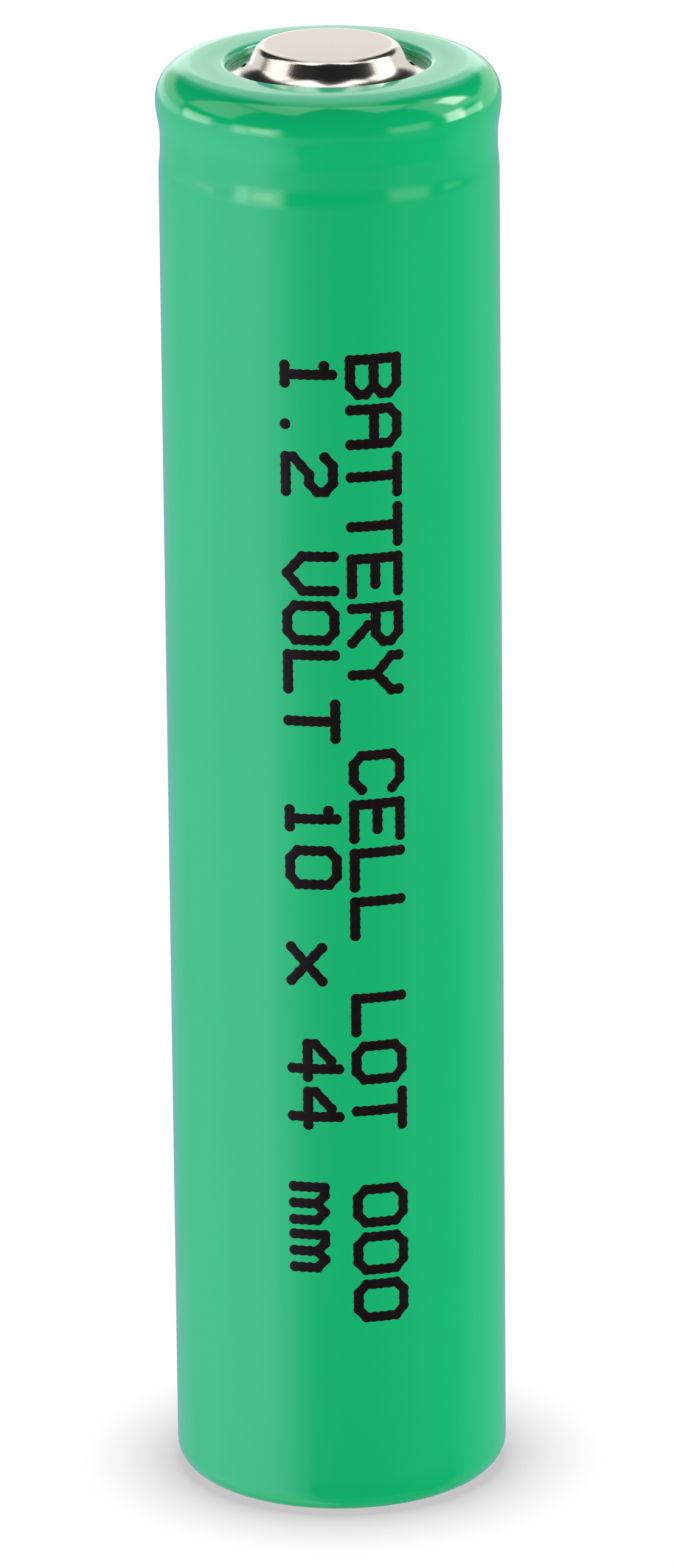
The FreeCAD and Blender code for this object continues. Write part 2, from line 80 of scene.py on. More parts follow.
back_off = Vector((0.0, -math.cos(CAMERA_ELEVATION), math.sin(CAMERA_ELEVATION)))
bpy.ops.object.camera_add(location=PIVOT + back_off * CAMERA_DISTANCE)
camera = bpy.context.object
camera.name = "product_camera"
camera.rotation_mode = "QUATERNION"
look = (AIM - camera.location).to_track_quat("-Z", "Y")
camera.rotation_quaternion = look @ Quaternion((0.0, 0.0, 1.0), CAMERA_ROLL)
camera.data.lens = FOCAL_LENGTH
camera.data.sensor_width = 36.0
camera.data.clip_start = 0.01
camera.data.clip_end = 10.0
bpy.context.scene.camera = camera
bpy.context.scene.view_settings.view_transform = "Standard"
print("camera at", [round(value / MM, 1) for value in camera.location], "mm")

# %% [markdown]
# ## Writing shader maths as Python
#
# A node tree is easier to read as an expression. `Wire` wraps the socket a value comes out of, and each
# arithmetic sign adds one Math node. `Graph.node` makes any other node: its settings first, then its
# sockets, which take plain values or wires.

# %% Wires and graphs
class Wire:
    """A value flowing through a node tree."""

    def __init__(self, graph, socket):
        self.graph = graph
        self.socket = socket

    def maths(self, operation, *values):
        return self.graph.node("ShaderNodeMath", {"operation": operation}, dict(enumerate(values)))

    def __add__(self, other):
        return self.maths("ADD", self, other)

    def __sub__(self, other):
        return self.maths("SUBTRACT", self, other)

    def __rsub__(self, other):
        return self.maths("SUBTRACT", other, self)

    def __mul__(self, other):
        return self.maths("MULTIPLY", self, other)

    def __truediv__(self, other):
        return self.maths("DIVIDE", self, other)

    def __abs__(self):
        return self.maths("ABSOLUTE", self)

    __radd__ = __add__
    __rmul__ = __mul__


class Graph:
    """The node tree of one material or of the world."""

    def __init__(self, owner):
        owner.use_nodes = True
        self.tree = owner.node_tree
        self.tree.nodes.clear()

    def node(self, kind, settings=None, sockets=None, output=0):
        made = self.tree.nodes.new(kind)
        for name, value in (settings or {}).items():
            if name == "stops":
                self.place_stops(made.color_ramp.elements, value)
            else:
                setattr(made, name, value)
        for name, value in (sockets or {}).items():
            if isinstance(value, Wire):
                self.tree.links.new(value.socket, made.inputs[name])
            else:
                made.inputs[name].default_value = value
        return Wire(self, made.outputs[output] if made.outputs else None)

    def place_stops(self, elements, stops):
        """Puts (position, colour) stops on a ramp, which comes with two of its own."""
        while len(elements) < len(stops):
            elements.new(1.0)
        for element, (position, colour) in zip(elements, stops):
            element.position = position
            element.color = colour

    def part_of(self, vector, index):
        """One part of a vector: 0, 1 or 2 for x, y or z."""
        return Wire(self, self.node("ShaderNodeSeparateXYZ", sockets={0: vector}).socket.node.outputs[index])

    def between(self, value, low, high, edge):
        """1 where value is between low and high, falling softly to 0 over edge outside them."""
        rise = {"Value": value, "From Min": low - edge, "From Max": low}
        fall = {"Value": value, "From Min": high + edge, "From Max": high}
        soft = {"interpolation_type": "SMOOTHSTEP"}
        return self.node("ShaderNodeMapRange", soft, rise) * self.node("ShaderNodeMapRange", soft, fall)

    def band(self, value, centre, half, edge):
        """1 where value lies within half of centre, falling softly to 0 over edge on both sides."""
        span = {"Value": abs(value - centre), "From Min": half + edge, "From Max": half - edge}
        return self.node("ShaderNodeMapRange", {"interpolation_type": "SMOOTHSTEP"}, span)

    def mix(self, factor, first, second, blend="MIX"):
        """A blend of two colours."""
        settings = {"data_type": "RGBA", "blend_type": blend}
        return self.node("ShaderNodeMix", settings, {0: factor, 6: first, 7: second}, output=2)


print("a graph can make", Graph.node.__name__, "and", Graph.mix.__name__)

# %% [markdown]
# ## The light
#
# Film and nickel are mirrors before they are colours, so the studio matters more than the paint. The
# cell stands on a light table in a tent, and the world is that tent written by direction: a glow below
# the horizon, stronger on the left and bluish until it gets deep; thin strips of light at the horizon;
# boxes at the sides; a white sheet behind; and a dark gap where the camera stands. The gap keeps the
# middle of the cell a deep green. Azimuth is 0 towards the camera and grows to the right; elevation is 0
# at the horizon.

# %% Directions
DEGREE = math.pi / 180

world = bpy.data.worlds.new("light_tent")
bpy.context.scene.world = world
tent = Graph(world)
direction = tent.node("ShaderNodeTexCoord")
east, north, height = (tent.part_of(direction, index) for index in range(3))
azimuth = tent.node("ShaderNodeMath", {"operation": "ARCTAN2"}, {0: east, 1: north * -1.0}) / DEGREE
elevation = tent.node("ShaderNodeMath", {"operation": "ARCSINE"}, {0: height}) / DEGREE


def lamp(azimuths, elevations, strength, edge=4.0):
    """A soft rectangle of light between two azimuths and two elevations, in degrees."""
    return tent.between(azimuth, *azimuths, edge) * tent.between(elevation, *elevations, edge) * strength


print("light comes from", len(world.node_tree.nodes), "nodes of direction")

# %% [markdown]
# The glow is a ramp round the horizon, so its levels are a list of (azimuth, level) stops. The strips and
# the upper boxes give the bright marks on the shoulder and the dip, and the low boxes at the back light the
# two sides of the button's wall.

# %% Lamps
GLOW_STOPS = (
    (-180, 0.30), (-145, 0.42), (-124, 0.58), (-100, 1.00), (-61, 1.30), (-46, 1.30),
    (-38, 1.00), (-28, 0.55), (-18, 0.30), (0, 0.13), (23, 0.08), (40, 0.16),
    (54, 0.25), (78, 0.15), (91, 0.16), (108, 0.30), (180, 0.30),
)
GLOW_TINT = (1.0, 1.08, 1.82, 1.0)
DEEP_TINT = (0.62, 0.72, 0.74, 1.0)
LAMP_WHITE = (1.0, 0.985, 0.965, 1.0)
NO_LIMIT = -200  # lower than any angle, so the range has no lower edge
GLOW_TOP = -10
DEEP_TOP = -62
DEEP_FADE = 28.0
SHEET_FOOT = 6
SHEET_HALF_WIDTH = 0.2
SHEET_GLOW = 0.9
TENT_GLOW = 0.015

glow_stops = [((angle + 180) / 360, (level, level, level, 1.0)) for angle, level in GLOW_STOPS]
glow_level = tent.node("ShaderNodeValToRGB", {"stops": glow_stops}, {0: (azimuth + 180.0) / 360.0})
tint = tent.mix(tent.between(elevation, NO_LIMIT, DEEP_TOP, DEEP_FADE), GLOW_TINT, DEEP_TINT)
glow = tent.mix(1.0, glow_level, tint, "MULTIPLY")
left_rise = lamp((NO_LIMIT, -58), (-7, 3), 1.0, 4.0)
front_gap = lamp((-20, 86), (-46, -25), 0.9, 6.0)
glow_height = tent.between(elevation, NO_LIMIT, GLOW_TOP, 3.0) * (1.0 - front_gap) + left_rise
strips = (
    lamp((-62, -36), (-5, 6), 3.2, 9.0)
    + lamp((-50, -40), (-3, 6), 2.5, 5.0)
    + lamp((-108, -88), (-1, 8), 4.0, 7.0)
    + lamp((44, 66), (-3, 6), 1.6, 8.0)
    + lamp((87, 99), (-2, 14), 8.0, 5.0)
    + lamp((99, 120), (-2, 5), 3.0, 5.0)
)
boxes = (
    lamp((-112, -36), (63, 84), 1.7, 8.0)
    + lamp((-112, -74), (26, 52), 1.5, 7.0)
    + lamp((54, 98), (63, 84), 1.7, 8.0)
    + lamp((84, 116), (20, 52), 1.4, 7.0)
    + lamp((104, 117), (29, 42), 8.0, 5.0)
    + lamp((-176, -120), (-4, 16), 0.9, 6.0)
    + lamp((120, 176), (-4, 16), 0.9, 6.0)
)
behind = tent.between(north, 0.0, 1.1, 0.1) * tent.between(elevation, SHEET_FOOT, 90, 7.0)
sheet = behind * tent.between(east, -SHEET_HALF_WIDTH, SHEET_HALF_WIDTH, 0.12) * SHEET_GLOW
white = tent.mix(1.0, strips + boxes + sheet + TENT_GLOW, LAMP_WHITE, "MULTIPLY")
tent.node("ShaderNodeOutputWorld", sockets={
    "Surface": tent.node("ShaderNodeBackground", sockets={
        "Color": tent.mix(1.0, white, tent.mix(1.0, glow, glow_height, "MULTIPLY"), "ADD"),
    })
})
print("world nodes:", len(world.node_tree.nodes))

# %% [markdown]
# ## The light table and the backdrop
#
# The table is a plain pale sheet, far larger than the view, with a soft painted grey shade where the cell
# stands on it. A light panel just under it lights the cell evenly from all sides, as a light table does, a
# round roof adds a weaker light from above, and a pale dome is the backdrop. The camera sees the sheet and
# the dome, and the panel and the roof only give light. None of them is seen in reflections, which show the
# tent.

# %% Table, panel and backdrop
TABLE_SIZE = 4.0
PANEL_DEPTH = 0.5 * MM
PANEL_GLOW = 1.49
DIM_START = 5.3 * MM
DIM_END = 7.2 * MM
DIM_LEVEL = 0.68
SHADE_REACH = 3.5 * MM
SHADE_STOPS = ((0.50, 0.56), (0.72, 0.80), (0.88, 0.93), (0.97, 1.0))
ROOF_RADIUS = 1.5
ROOF_GLOW = 0.55
DOME_RADIUS = 3.0
RAYS = ("camera", "diffuse", "glossy", "transmission", "volume_scatter", "shadow")


def stand_in(name, strength, seen_by):
    """Makes the active object part of the studio: a white glow, seen only by some kinds of ray."""
    thing = bpy.context.object
    thing.name = name
    paint = bpy.data.materials.new(name)
    paint.cycles.emission_sampling = "NONE"
    graph = Graph(paint)
    shine = strength(graph) if callable(strength) else strength
    light = graph.node("ShaderNodeEmission", sockets={"Color": (1.0, 1.0, 1.0, 1.0), "Strength": shine})
    graph.node("ShaderNodeOutputMaterial", sockets={"Surface": light})
    thing.data.materials.append(paint)
    for ray in RAYS:
        setattr(thing, "visible_" + ray, ray in seen_by)
    return thing


def lit(graph):
    """Strength of the panel: even, and dimmer right under the cell, as where a foot shades it."""
    place = graph.node("ShaderNodeTexCoord", output=3)
    from_axis = graph.node("ShaderNodeVectorMath", {"operation": "LENGTH"}, {0: place}, output=1)
    span = {"Value": from_axis, "From Min": DIM_START, "From Max": DIM_END, "To Min": DIM_LEVEL}
    return graph.node("ShaderNodeMapRange", sockets=span) * PANEL_GLOW


def shaded(graph):
    """Strength of the table: white in the open, and a soft painted grey shade close to the cell, where it is
    closed in.
    """
    # painted shadow: the table's glow is dimmed where the occlusion node finds the cell close by
    openness = graph.node("ShaderNodeAmbientOcclusion", {"samples": 16}, {"Distance": SHADE_REACH}, output=1)
    stops = [(place, (level, level, level, 1.0)) for place, level in SHADE_STOPS]
    return graph.node("ShaderNodeValToRGB", {"stops": stops}, {0: openness})


bpy.ops.object.select_all(action="DESELECT")
bpy.ops.mesh.primitive_plane_add(size=TABLE_SIZE, location=(0.0, 0.0, 0.0))
table = stand_in("table", shaded, ("camera",))
bpy.ops.mesh.primitive_plane_add(size=TABLE_SIZE, location=(0.0, 0.0, -PANEL_DEPTH))
stand_in("light_panel", lit, ("diffuse", "shadow"))
bpy.ops.mesh.primitive_uv_sphere_add(segments=48, ring_count=24, radius=ROOF_RADIUS)
stand_in("soft_roof", ROOF_GLOW, ("diffuse",))
bpy.ops.mesh.primitive_uv_sphere_add(segments=48, ring_count=24, radius=DOME_RADIUS)
stand_in("backdrop", 1.0, ("camera",))
print("table", [round(size, 2) for size in table.dimensions[:2]], "m")

# %% [markdown]
# ## Turning pieces by hand
#
# Every visible piece but the ink is round, so all of them are made the same way: a circle is added at
# the first ring of the profile, and the ring is extruded and resized from corner to corner. The corners
# stay sharp until the end, when the bevel operator rounds each one with the bend the sheet really has.
# A spin of a drawn profile would also work, but extruding keeps every ring in reach for the next step.

# %% Helpers for turned pieces
SEGMENTS = 192
NEAR = 0.003 * MM


def first_ring(name, radius, height):
    """A circle in edit mode, all selected: the start of a turned piece."""
    bpy.ops.object.select_all(action="DESELECT")
    bpy.ops.mesh.primitive_circle_add(vertices=SEGMENTS, radius=radius * MM, location=(0, 0, height * MM))
    piece = bpy.context.object
    piece.name = name
    piece.data.name = name
    bpy.ops.object.transform_apply(location=True, rotation=True, scale=True)
    bpy.ops.object.mode_set(mode="EDIT")
    bpy.ops.mesh.select_mode(type="EDGE")
    bpy.ops.mesh.select_all(action="SELECT")
    return piece


def pull_rings(corners):
    """Extrudes the selected ring through the rest of the (radius, height) corners."""
    for (radius, height), (wider, higher) in zip(corners, corners[1:]):
        rise = (0.0, 0.0, (higher - height) * MM)
        bpy.ops.mesh.extrude_region_move(TRANSFORM_OT_translate={"value": rise})
        grow = wider / radius
        bpy.ops.transform.resize(value=(grow, grow, 1.0), center_override=(0.0, 0.0, 0.0))


def select_ring(piece, radius, height):
    """Selects only the ring of edges at that radius and height."""
    bpy.ops.mesh.select_all(action="DESELECT")
    mesh = bmesh.from_edit_mesh(piece.data)
    for edge in mesh.edges:
        at_radius = all(abs(corner.co.xy.length - radius * MM) < NEAR for corner in edge.verts)
        at_height = all(abs(corner.co.z - height * MM) < NEAR for corner in edge.verts)
        if at_radius and at_height:
            edge.select_set(True)
    bmesh.update_edit_mesh(piece.data)


def round_ring(piece, radius, height, bend, turn=90.0, steps=8):
    """Rounds a ring where the profile turns by turn degrees."""
    select_ring(piece, radius, height)
    offset = bend * MM * math.tan(math.radians(turn / 2))
    bpy.ops.mesh.bevel(offset=offset, offset_type="OFFSET", segments=steps, affect="EDGES")


def close_ring(piece, radius, height):
    """Fills a ring with one flat face."""
    select_ring(piece, radius, height)
    bpy.ops.mesh.edge_face_add()


def leave_edit(piece):
    """Turns every face outwards and goes back to object mode."""
    bpy.ops.mesh.select_all(action="SELECT")
    bpy.ops.mesh.normals_make_consistent(inside=False)
    bpy.ops.object.mode_set(mode="OBJECT")
    return piece


def thicken(piece, sheet_mm):
    """Gives an outer surface the thickness of its sheet, inwards."""
    solid = piece.modifiers.new("sheet", "SOLIDIFY")
    solid.thickness = sheet_mm * MM
    solid.offset = -1.0
    solid.use_even_offset = True
    bpy.ops.object.modifier_apply(modifier=solid.name)


def smooth(piece, angle=35.0):
    """Smooth shading, except across edges sharper than angle."""
    bpy.ops.object.select_all(action="DESELECT")
    piece.select_set(True)
    bpy.context.view_layer.objects.active = piece
    bpy.ops.object.shade_smooth_by_angle(angle=math.radians(angle))


print("rings have", SEGMENTS, "corners")

# %% [markdown]
# ## The shrink sleeve
#
# The real sleeve is a tube of PVC film, slid over the can and shrunk with hot air. It hugs the can, dips
# a little over the rolled bead near the top, swells over the crimped shoulder, and its two ends curl in
# over the faces. The profile is pulled up ring by ring; the dip follows a cosine, which has the soft
# start and finish of stretched film.

# %% Sleeve
FILM = 0.14
BODY_RADIUS = 5.0
SHOULDER_RADIUS = 5.07
WAIST_RADIUS = 4.95
SHOULDER_BEND = 1.05
FOOT_BEND = 0.75
WINDOW_RADIUS = 2.96
WINDOW_DEPTH = 0.295
WINDOW_BEND = 0.19
FOLD_RADIUS = 3.9
DIP_LOW = 40.55
WAIST_LOW = 41.3
WAIST_HIGH = 41.62
FACE_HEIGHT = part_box("shrink_sleeve")[1].z / MM
DIP_HIGH = FACE_HEIGHT - SHOULDER_BEND


def eased(start, finish, steps):
    """(radius, height) corners from one ring to another along half a cosine, without the first."""
    corners = []
    for step in range(1, steps + 1):
        share = step / steps
        ease = (1 - math.cos(math.pi * share)) / 2
        radius = start[0] + (finish[0] - start[0]) * ease
        corners.append((radius, start[1] + (finish[1] - start[1]) * share))
    return corners


BARREL_LOW = 1.2
BARREL_RINGS = 20
BEVEL_CLEARANCE = 0.02
barrel = [
    (BODY_RADIUS, BARREL_LOW + (DIP_LOW - BARREL_LOW) * step / BARREL_RINGS)
    for step in range(BARREL_RINGS + 1)
]
sleeve_profile = (
    [(FOLD_RADIUS, 0.0), (BODY_RADIUS, 0.0)]
    + barrel
    + eased((BODY_RADIUS, DIP_LOW), (WAIST_RADIUS, WAIST_LOW), 10)
    + eased((WAIST_RADIUS, WAIST_HIGH), (SHOULDER_RADIUS, DIP_HIGH - BEVEL_CLEARANCE), 12)
    + [
        (SHOULDER_RADIUS, FACE_HEIGHT),
        (WINDOW_RADIUS, FACE_HEIGHT),
        (WINDOW_RADIUS, FACE_HEIGHT - WINDOW_DEPTH),
    ]
)
sleeve = first_ring("printed_sleeve", *sleeve_profile[0])
pull_rings(sleeve_profile)
round_ring(sleeve, BODY_RADIUS, 0.0, FOOT_BEND, steps=10)
round_ring(sleeve, SHOULDER_RADIUS, FACE_HEIGHT, SHOULDER_BEND, steps=18)
round_ring(sleeve, WINDOW_RADIUS, FACE_HEIGHT, WINDOW_BEND, steps=6)
leave_edit(sleeve)
print("sleeve rings pulled:", len(sleeve_profile), "faces:", len(sleeve.data.polygons))

# %% [markdown]
# Shrunk film never ends in a perfect circle. Where it is gathered it puckers: a few slow waves round the
# window, and finer ones where the fold lies on the base. The waves are small enough to be felt more than
# seen, and they only push film away from the floor.

# %% Puckers in the film
WINDOW_WAVE = 0.030
DIP_WAVE = 0.007
FOLD_WAVE = 0.070
FOLD_PUCKER = 0.018
WINDOW_ZONE = 0.6    # this far below the face
WINDOW_CALM = 3.7    # radius at which the waves of the window have died out
FOLD_ZONE = 0.4      # this far above the floor
FOLD_CALM = 4.5      # radius at which the waves of the fold have died out


def fade(value, start, finish):
    """0 at start, 1 at finish, eased in between."""
    share = min(max((value - start) / (finish - start), 0.0), 1.0)
    return share * share * (3 - 2 * share)


def waves(angle, counts):
    """A sum of waves round the circle, between about -1 and 1."""
    return sum(math.sin(count * angle + 1.7 * count) for count in counts) / len(counts)


for corner in sleeve.data.vertices:
    radius, high = corner.co.xy.length / MM, corner.co.z / MM
    angle = math.atan2(corner.co.y, corner.co.x)
    shift = 0.0
    if high > FACE_HEIGHT - WINDOW_ZONE:
        shift = WINDOW_WAVE * waves(angle, (3, 5, 8)) * fade(radius, WINDOW_CALM, WINDOW_RADIUS)
    elif high > DIP_LOW:
        near_dip = fade(high, DIP_LOW, WAIST_LOW) * fade(high, DIP_HIGH + 0.3, DIP_HIGH - 0.5)
        shift = DIP_WAVE * waves(angle + 0.35 * high, (4, 9, 15)) * near_dip
    elif high < FOLD_ZONE:
        near_fold = fade(radius, FOLD_CALM, FOLD_RADIUS)
        shift = FOLD_WAVE * waves(angle, (4, 7, 13)) * near_fold
        corner.co.z += FOLD_PUCKER * MM * (1 + waves(angle, (17, 23, 31))) * near_fold
    corner.co.xy *= 1 + shift / radius
thicken(sleeve, FILM)
smooth(sleeve, 60.0)
print("sleeve", [round(size / MM, 2) for size in sleeve.dimensions], "mm")

# %% [markdown]
# ## The positive terminal
#
# The button is pressed from one sheet of steel: a flat crown, a wall that flares to a ring which shows in
# the sleeve's window, and a flange a step lower that the seal grips. Two gas holes sit at the foot of
# the wall. The holes are cut last, with a boolean, because a hole punched through a round wall has no
# simple ring to extrude.

# %% Button
CROWN_CORNER = 2.05
FOOT_CORNER = 2.50
RING_HEIGHT = 43.5
RING_EDGE = 3.06
STEP_FOOT = 3.22
CAP_SHEET = 0.2
CROWN_BEND = 0.28
WALL_FOOT_BEND = 0.72
WALL_TURN = 60.6
STEP_BEND = 0.12
STEP_TURN = 63.0
cap_low, cap_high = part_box("terminal_cap")
CROWN_HEIGHT = cap_high.z / MM
FLANGE_RADIUS = cap_high.x / MM
FLANGE_TOP = cap_low.z / MM + CAP_SHEET

cap_profile = [
    (CROWN_CORNER, CROWN_HEIGHT),
    (FOOT_CORNER, RING_HEIGHT),
    (RING_EDGE, RING_HEIGHT),
    (STEP_FOOT, FLANGE_TOP),
    (FLANGE_RADIUS, FLANGE_TOP),
]
button = first_ring("button_terminal", *cap_profile[0])
pull_rings(cap_profile)
close_ring(button, CROWN_CORNER, CROWN_HEIGHT)
round_ring(button, CROWN_CORNER, CROWN_HEIGHT, CROWN_BEND, WALL_TURN, steps=12)
round_ring(button, FOOT_CORNER, RING_HEIGHT, WALL_FOOT_BEND, WALL_TURN, steps=20)
round_ring(button, RING_EDGE, RING_HEIGHT, STEP_BEND, STEP_TURN, steps=4)
round_ring(button, STEP_FOOT, FLANGE_TOP, STEP_BEND, STEP_TURN, steps=4)
leave_edit(button)
thicken(button, CAP_SHEET)
print("button faces:", len(button.data.polygons))

# %% Gas holes
HOLE_RADIUS = 0.16
HOLE_HEIGHT = RING_HEIGHT + 0.22
PUNCH_LENGTH = 2.2
PUNCH_PLACE = 2.5


def drill(piece, side):
    """Cuts one gas hole through the wall, on the side that x points to."""
    bpy.ops.object.select_all(action="DESELECT")
    bpy.ops.mesh.primitive_cylinder_add(
        vertices=32, radius=HOLE_RADIUS * MM, depth=PUNCH_LENGTH * MM,
        location=(side * PUNCH_PLACE * MM, 0.0, HOLE_HEIGHT * MM), rotation=(0.0, math.pi / 2, 0.0),
    )
    punch = bpy.context.object
    bpy.context.view_layer.objects.active = piece
    cut = piece.modifiers.new("gas_hole", "BOOLEAN")
    cut.operation = "DIFFERENCE"
    cut.solver = "EXACT"
    cut.object = punch
    bpy.ops.object.modifier_apply(modifier=cut.name)
    bpy.data.objects.remove(punch)


before = len(button.data.polygons)
for side in (-1, 1):
    drill(button, side)
smooth(button, 40.0)
print("faces before and after drilling:", before, len(button.data.polygons))

# %% [markdown]
# ## The can
#
# The can is deep-drawn from nickel-plated steel. Only its base shows, with a round contact pad pressed
# out of it, but the whole shell is turned here, bead and crimp included, so that it is right wherever
# the model is opened up.

# %% Can
FILM_GAP = 0.02
CAN_RADIUS = BODY_RADIUS - FILM - FILM_GAP
CAN_WALL = 0.18
PAD_RADIUS = 3.3
PAD_SLOPE = 0.2
PAD_BEND = 0.25
PAD_FOOT_BEND = 0.2
PAD_TURN = 35.0
BEAD_RADIUS = CAN_RADIUS - 0.48
BEAD_BEND = 0.16
BEAD_TURN = 48.8
LIP_RADIUS = 3.45
LIP_BEND = 0.85
can_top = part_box("steel_can")[1].z / MM
BEAD_HEIGHTS = (40.66, 41.08, 41.69, 42.11)

can_profile = [
    (PAD_RADIUS, 0.0),
    (PAD_RADIUS + PAD_SLOPE, FILM),
    (CAN_RADIUS, FILM),
    (CAN_RADIUS, BEAD_HEIGHTS[0]),
    (BEAD_RADIUS, BEAD_HEIGHTS[1]),
    (BEAD_RADIUS, BEAD_HEIGHTS[2]),
    (CAN_RADIUS, BEAD_HEIGHTS[3]),
    (CAN_RADIUS, can_top),
    (LIP_RADIUS, can_top),
]
can = first_ring("drawn_can", *can_profile[0])
pull_rings(can_profile)
close_ring(can, PAD_RADIUS, 0.0)
round_ring(can, PAD_RADIUS, 0.0, PAD_BEND, PAD_TURN, steps=4)
round_ring(can, PAD_RADIUS + PAD_SLOPE, FILM, PAD_FOOT_BEND, PAD_TURN, steps=4)
round_ring(can, CAN_RADIUS, FILM, FOOT_BEND - FILM - FILM_GAP, steps=8)
for radius, high in zip((CAN_RADIUS, BEAD_RADIUS, BEAD_RADIUS, CAN_RADIUS), BEAD_HEIGHTS):
    round_ring(can, radius, high, BEAD_BEND, BEAD_TURN, steps=4)
round_ring(can, CAN_RADIUS, can_top, LIP_BEND, steps=10)
leave_edit(can)
thicken(can, CAN_WALL)
smooth(can, 40.0)
print("can", [round(size / MM, 2) for size in can.dimensions], "mm")

# %% [markdown]
# ## The vent plug
#
# Under the button a stepped rubber plug presses on a small hole. When gas builds up it squashes against
# the button and lets the gas past. It is soft, so it doesn't travel.

# %% Plug
plug_low, plug_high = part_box("vent_plug")
PLUG_FOOT = plug_high.x / MM
PLUG_NECK = 1.2
PLUG_STEP = plug_low.z / MM + 1.15
PLUG_SLOPE = 0.25
PLUG_BEND = 0.1

plug_profile = [
    (PLUG_FOOT, plug_low.z / MM),
    (PLUG_FOOT, PLUG_STEP),
    (PLUG_NECK, PLUG_STEP + PLUG_SLOPE),
    (PLUG_NECK, plug_high.z / MM),
]
plug = first_ring("rubber_plug", *plug_profile[0])
pull_rings(plug_profile)
close_ring(plug, *plug_profile[0])
close_ring(plug, *plug_profile[-1])
round_ring(plug, PLUG_FOOT, plug_low.z / MM, PLUG_BEND, steps=3)
round_ring(plug, PLUG_NECK, plug_high.z / MM, PLUG_BEND, steps=3)
leave_edit(plug)
smooth(plug, 40.0)
print("plug height", round(plug.dimensions.z / MM, 2), "mm")

# %% [markdown]
# ## The ink-jet print
#
# An ink-jet coder throws drops of ink on a grid seven drops high and five wide. The drops run together,
# so a letter looks drawn with a round brush. Here a drop is modelled once as a flattened ball, and a
# link between two drops once as a flattened rod. Each letter is a small picture of which drops are
# thrown, and the copies are joined and wrapped round the sleeve. The text is generic.

# %% Alphabet
ALPHABET = {
    "A": "01110 10001 10001 11111 10001 10001 10001",
    "B": "11110 10001 10001 11110 10001 10001 11110",
    "C": "01110 10001 10000 10000 10000 10001 01110",
    "E": "11111 10000 10000 11110 10000 10000 11111",
    "L": "10000 10000 10000 10000 10000 10000 11111",
    "O": "01110 10001 10001 10001 10001 10001 01110",
    "R": "11110 10001 10001 11110 10100 10010 10001",
    "T": "11111 00100 00100 00100 00100 00100 00100",
    "V": "10001 10001 10001 10001 10001 01010 00100",
    "Y": "10001 10001 01010 00100 00100 00100 00100",
    "m": "00000 00000 11010 10101 10101 10101 10101",
    "x": "00000 00000 10001 01010 00100 01010 10001",
    "0": "01110 10001 10001 10001 10001 10001 01110",
    "1": "00100 01100 00100 00100 00100 00100 01110",
    "2": "01110 10001 00001 00110 01000 10000 11111",
    "4": "00010 00110 01010 10010 11111 00010 00010",
    ".": "00000 00000 00000 00000 00000 00000 00100",
    " ": "00000 00000 00000 00000 00000 00000 00000",
}


def drops(letter):
    """The (column, row) of each drop of a letter, from its top left."""
    rows = ALPHABET[letter].split()
    return {(column, row) for row in range(7) for column in range(5) if rows[row][column] == "1"}


def links(thrown):
    """Pairs of neighbouring drops that run together; a slanted pair only where no square pair does."""
    pairs = []
    for column, row in sorted(thrown):
        for near in ((column + 1, row), (column, row + 1)):
            if near in thrown:
                pairs.append(((column, row), near))
        for side in (-1, 1):
            near = (column + side, row + 1)
            bridged = (column + side, row) in thrown or (column, row + 1) in thrown
            if near in thrown and not bridged:
                pairs.append(((column, row), near))
    return pairs


print("letters:", "".join(sorted(ALPHABET)).strip())

# %% Drop and link
DROP_RADIUS = 0.178
LINK_RADIUS = 0.162
INK_HEIGHT = 0.012
COLUMN_STEP = 0.262
ROW_STEP = 0.232
LETTER_STEP = 1.51


def flatten(piece, thickness):
    """Squeezes a piece of ink to thickness along y, which is away from the film."""
    bpy.ops.object.mode_set(mode="EDIT")
    bpy.ops.mesh.select_all(action="SELECT")
    squeeze = thickness * MM / piece.dimensions.y
    bpy.ops.transform.resize(value=(1.0, squeeze, 1.0), center_override=(0.0, 0.0, 0.0))
    bpy.ops.object.mode_set(mode="OBJECT")


bpy.ops.object.select_all(action="DESELECT")
bpy.ops.mesh.primitive_uv_sphere_add(segments=14, ring_count=6, radius=DROP_RADIUS * MM)
drop = bpy.context.object
flatten(drop, INK_HEIGHT * 2)
bpy.ops.object.select_all(action="DESELECT")
bpy.ops.mesh.primitive_cylinder_add(vertices=12, radius=LINK_RADIUS * MM, depth=MM)
link = bpy.context.object
flatten(link, INK_HEIGHT * 2)
print("drop faces", len(drop.data.polygons), "link faces", len(link.data.polygons))

# %% [markdown]
# The lines read downwards, with the tops of the letters to the right, so a letter's columns run down the
# cell and its rows run round it. Each copy is laid out flat, as on unrolled film, and the joined sheet
# of ink is then rolled on with one formula.

# %% Lines of print
LINES = (
    ("BATTERY CELL LOT 000", 1.94, 36.12),
    ("1.2 VOLT 10 x 44 mm", 0.02, 36.22),
)
INK_SINK = 0.004
INK_SEAT = BODY_RADIUS - INK_SINK


def flat_place(line_top, line_start, index, drop_at):
    """Where a drop lies on the unrolled film: x round the cell from the front, z along it."""
    column, row = drop_at
    across = line_top - row * ROW_STEP
    along = line_start - index * LETTER_STEP - column * COLUMN_STEP
    return Vector((across, 0.0, along)) * MM


def stamp(pattern, place, turn=0.0, stretch=1.0):
    """A copy of a drop or link, with its own mesh, put in place."""
    copy = pattern.copy()
    copy.data = pattern.data.copy()
    copy.location = place
    copy.rotation_euler = (0.0, turn, 0.0)
    copy.scale = (1.0, 1.0, stretch)
    bpy.context.collection.objects.link(copy)
    return copy


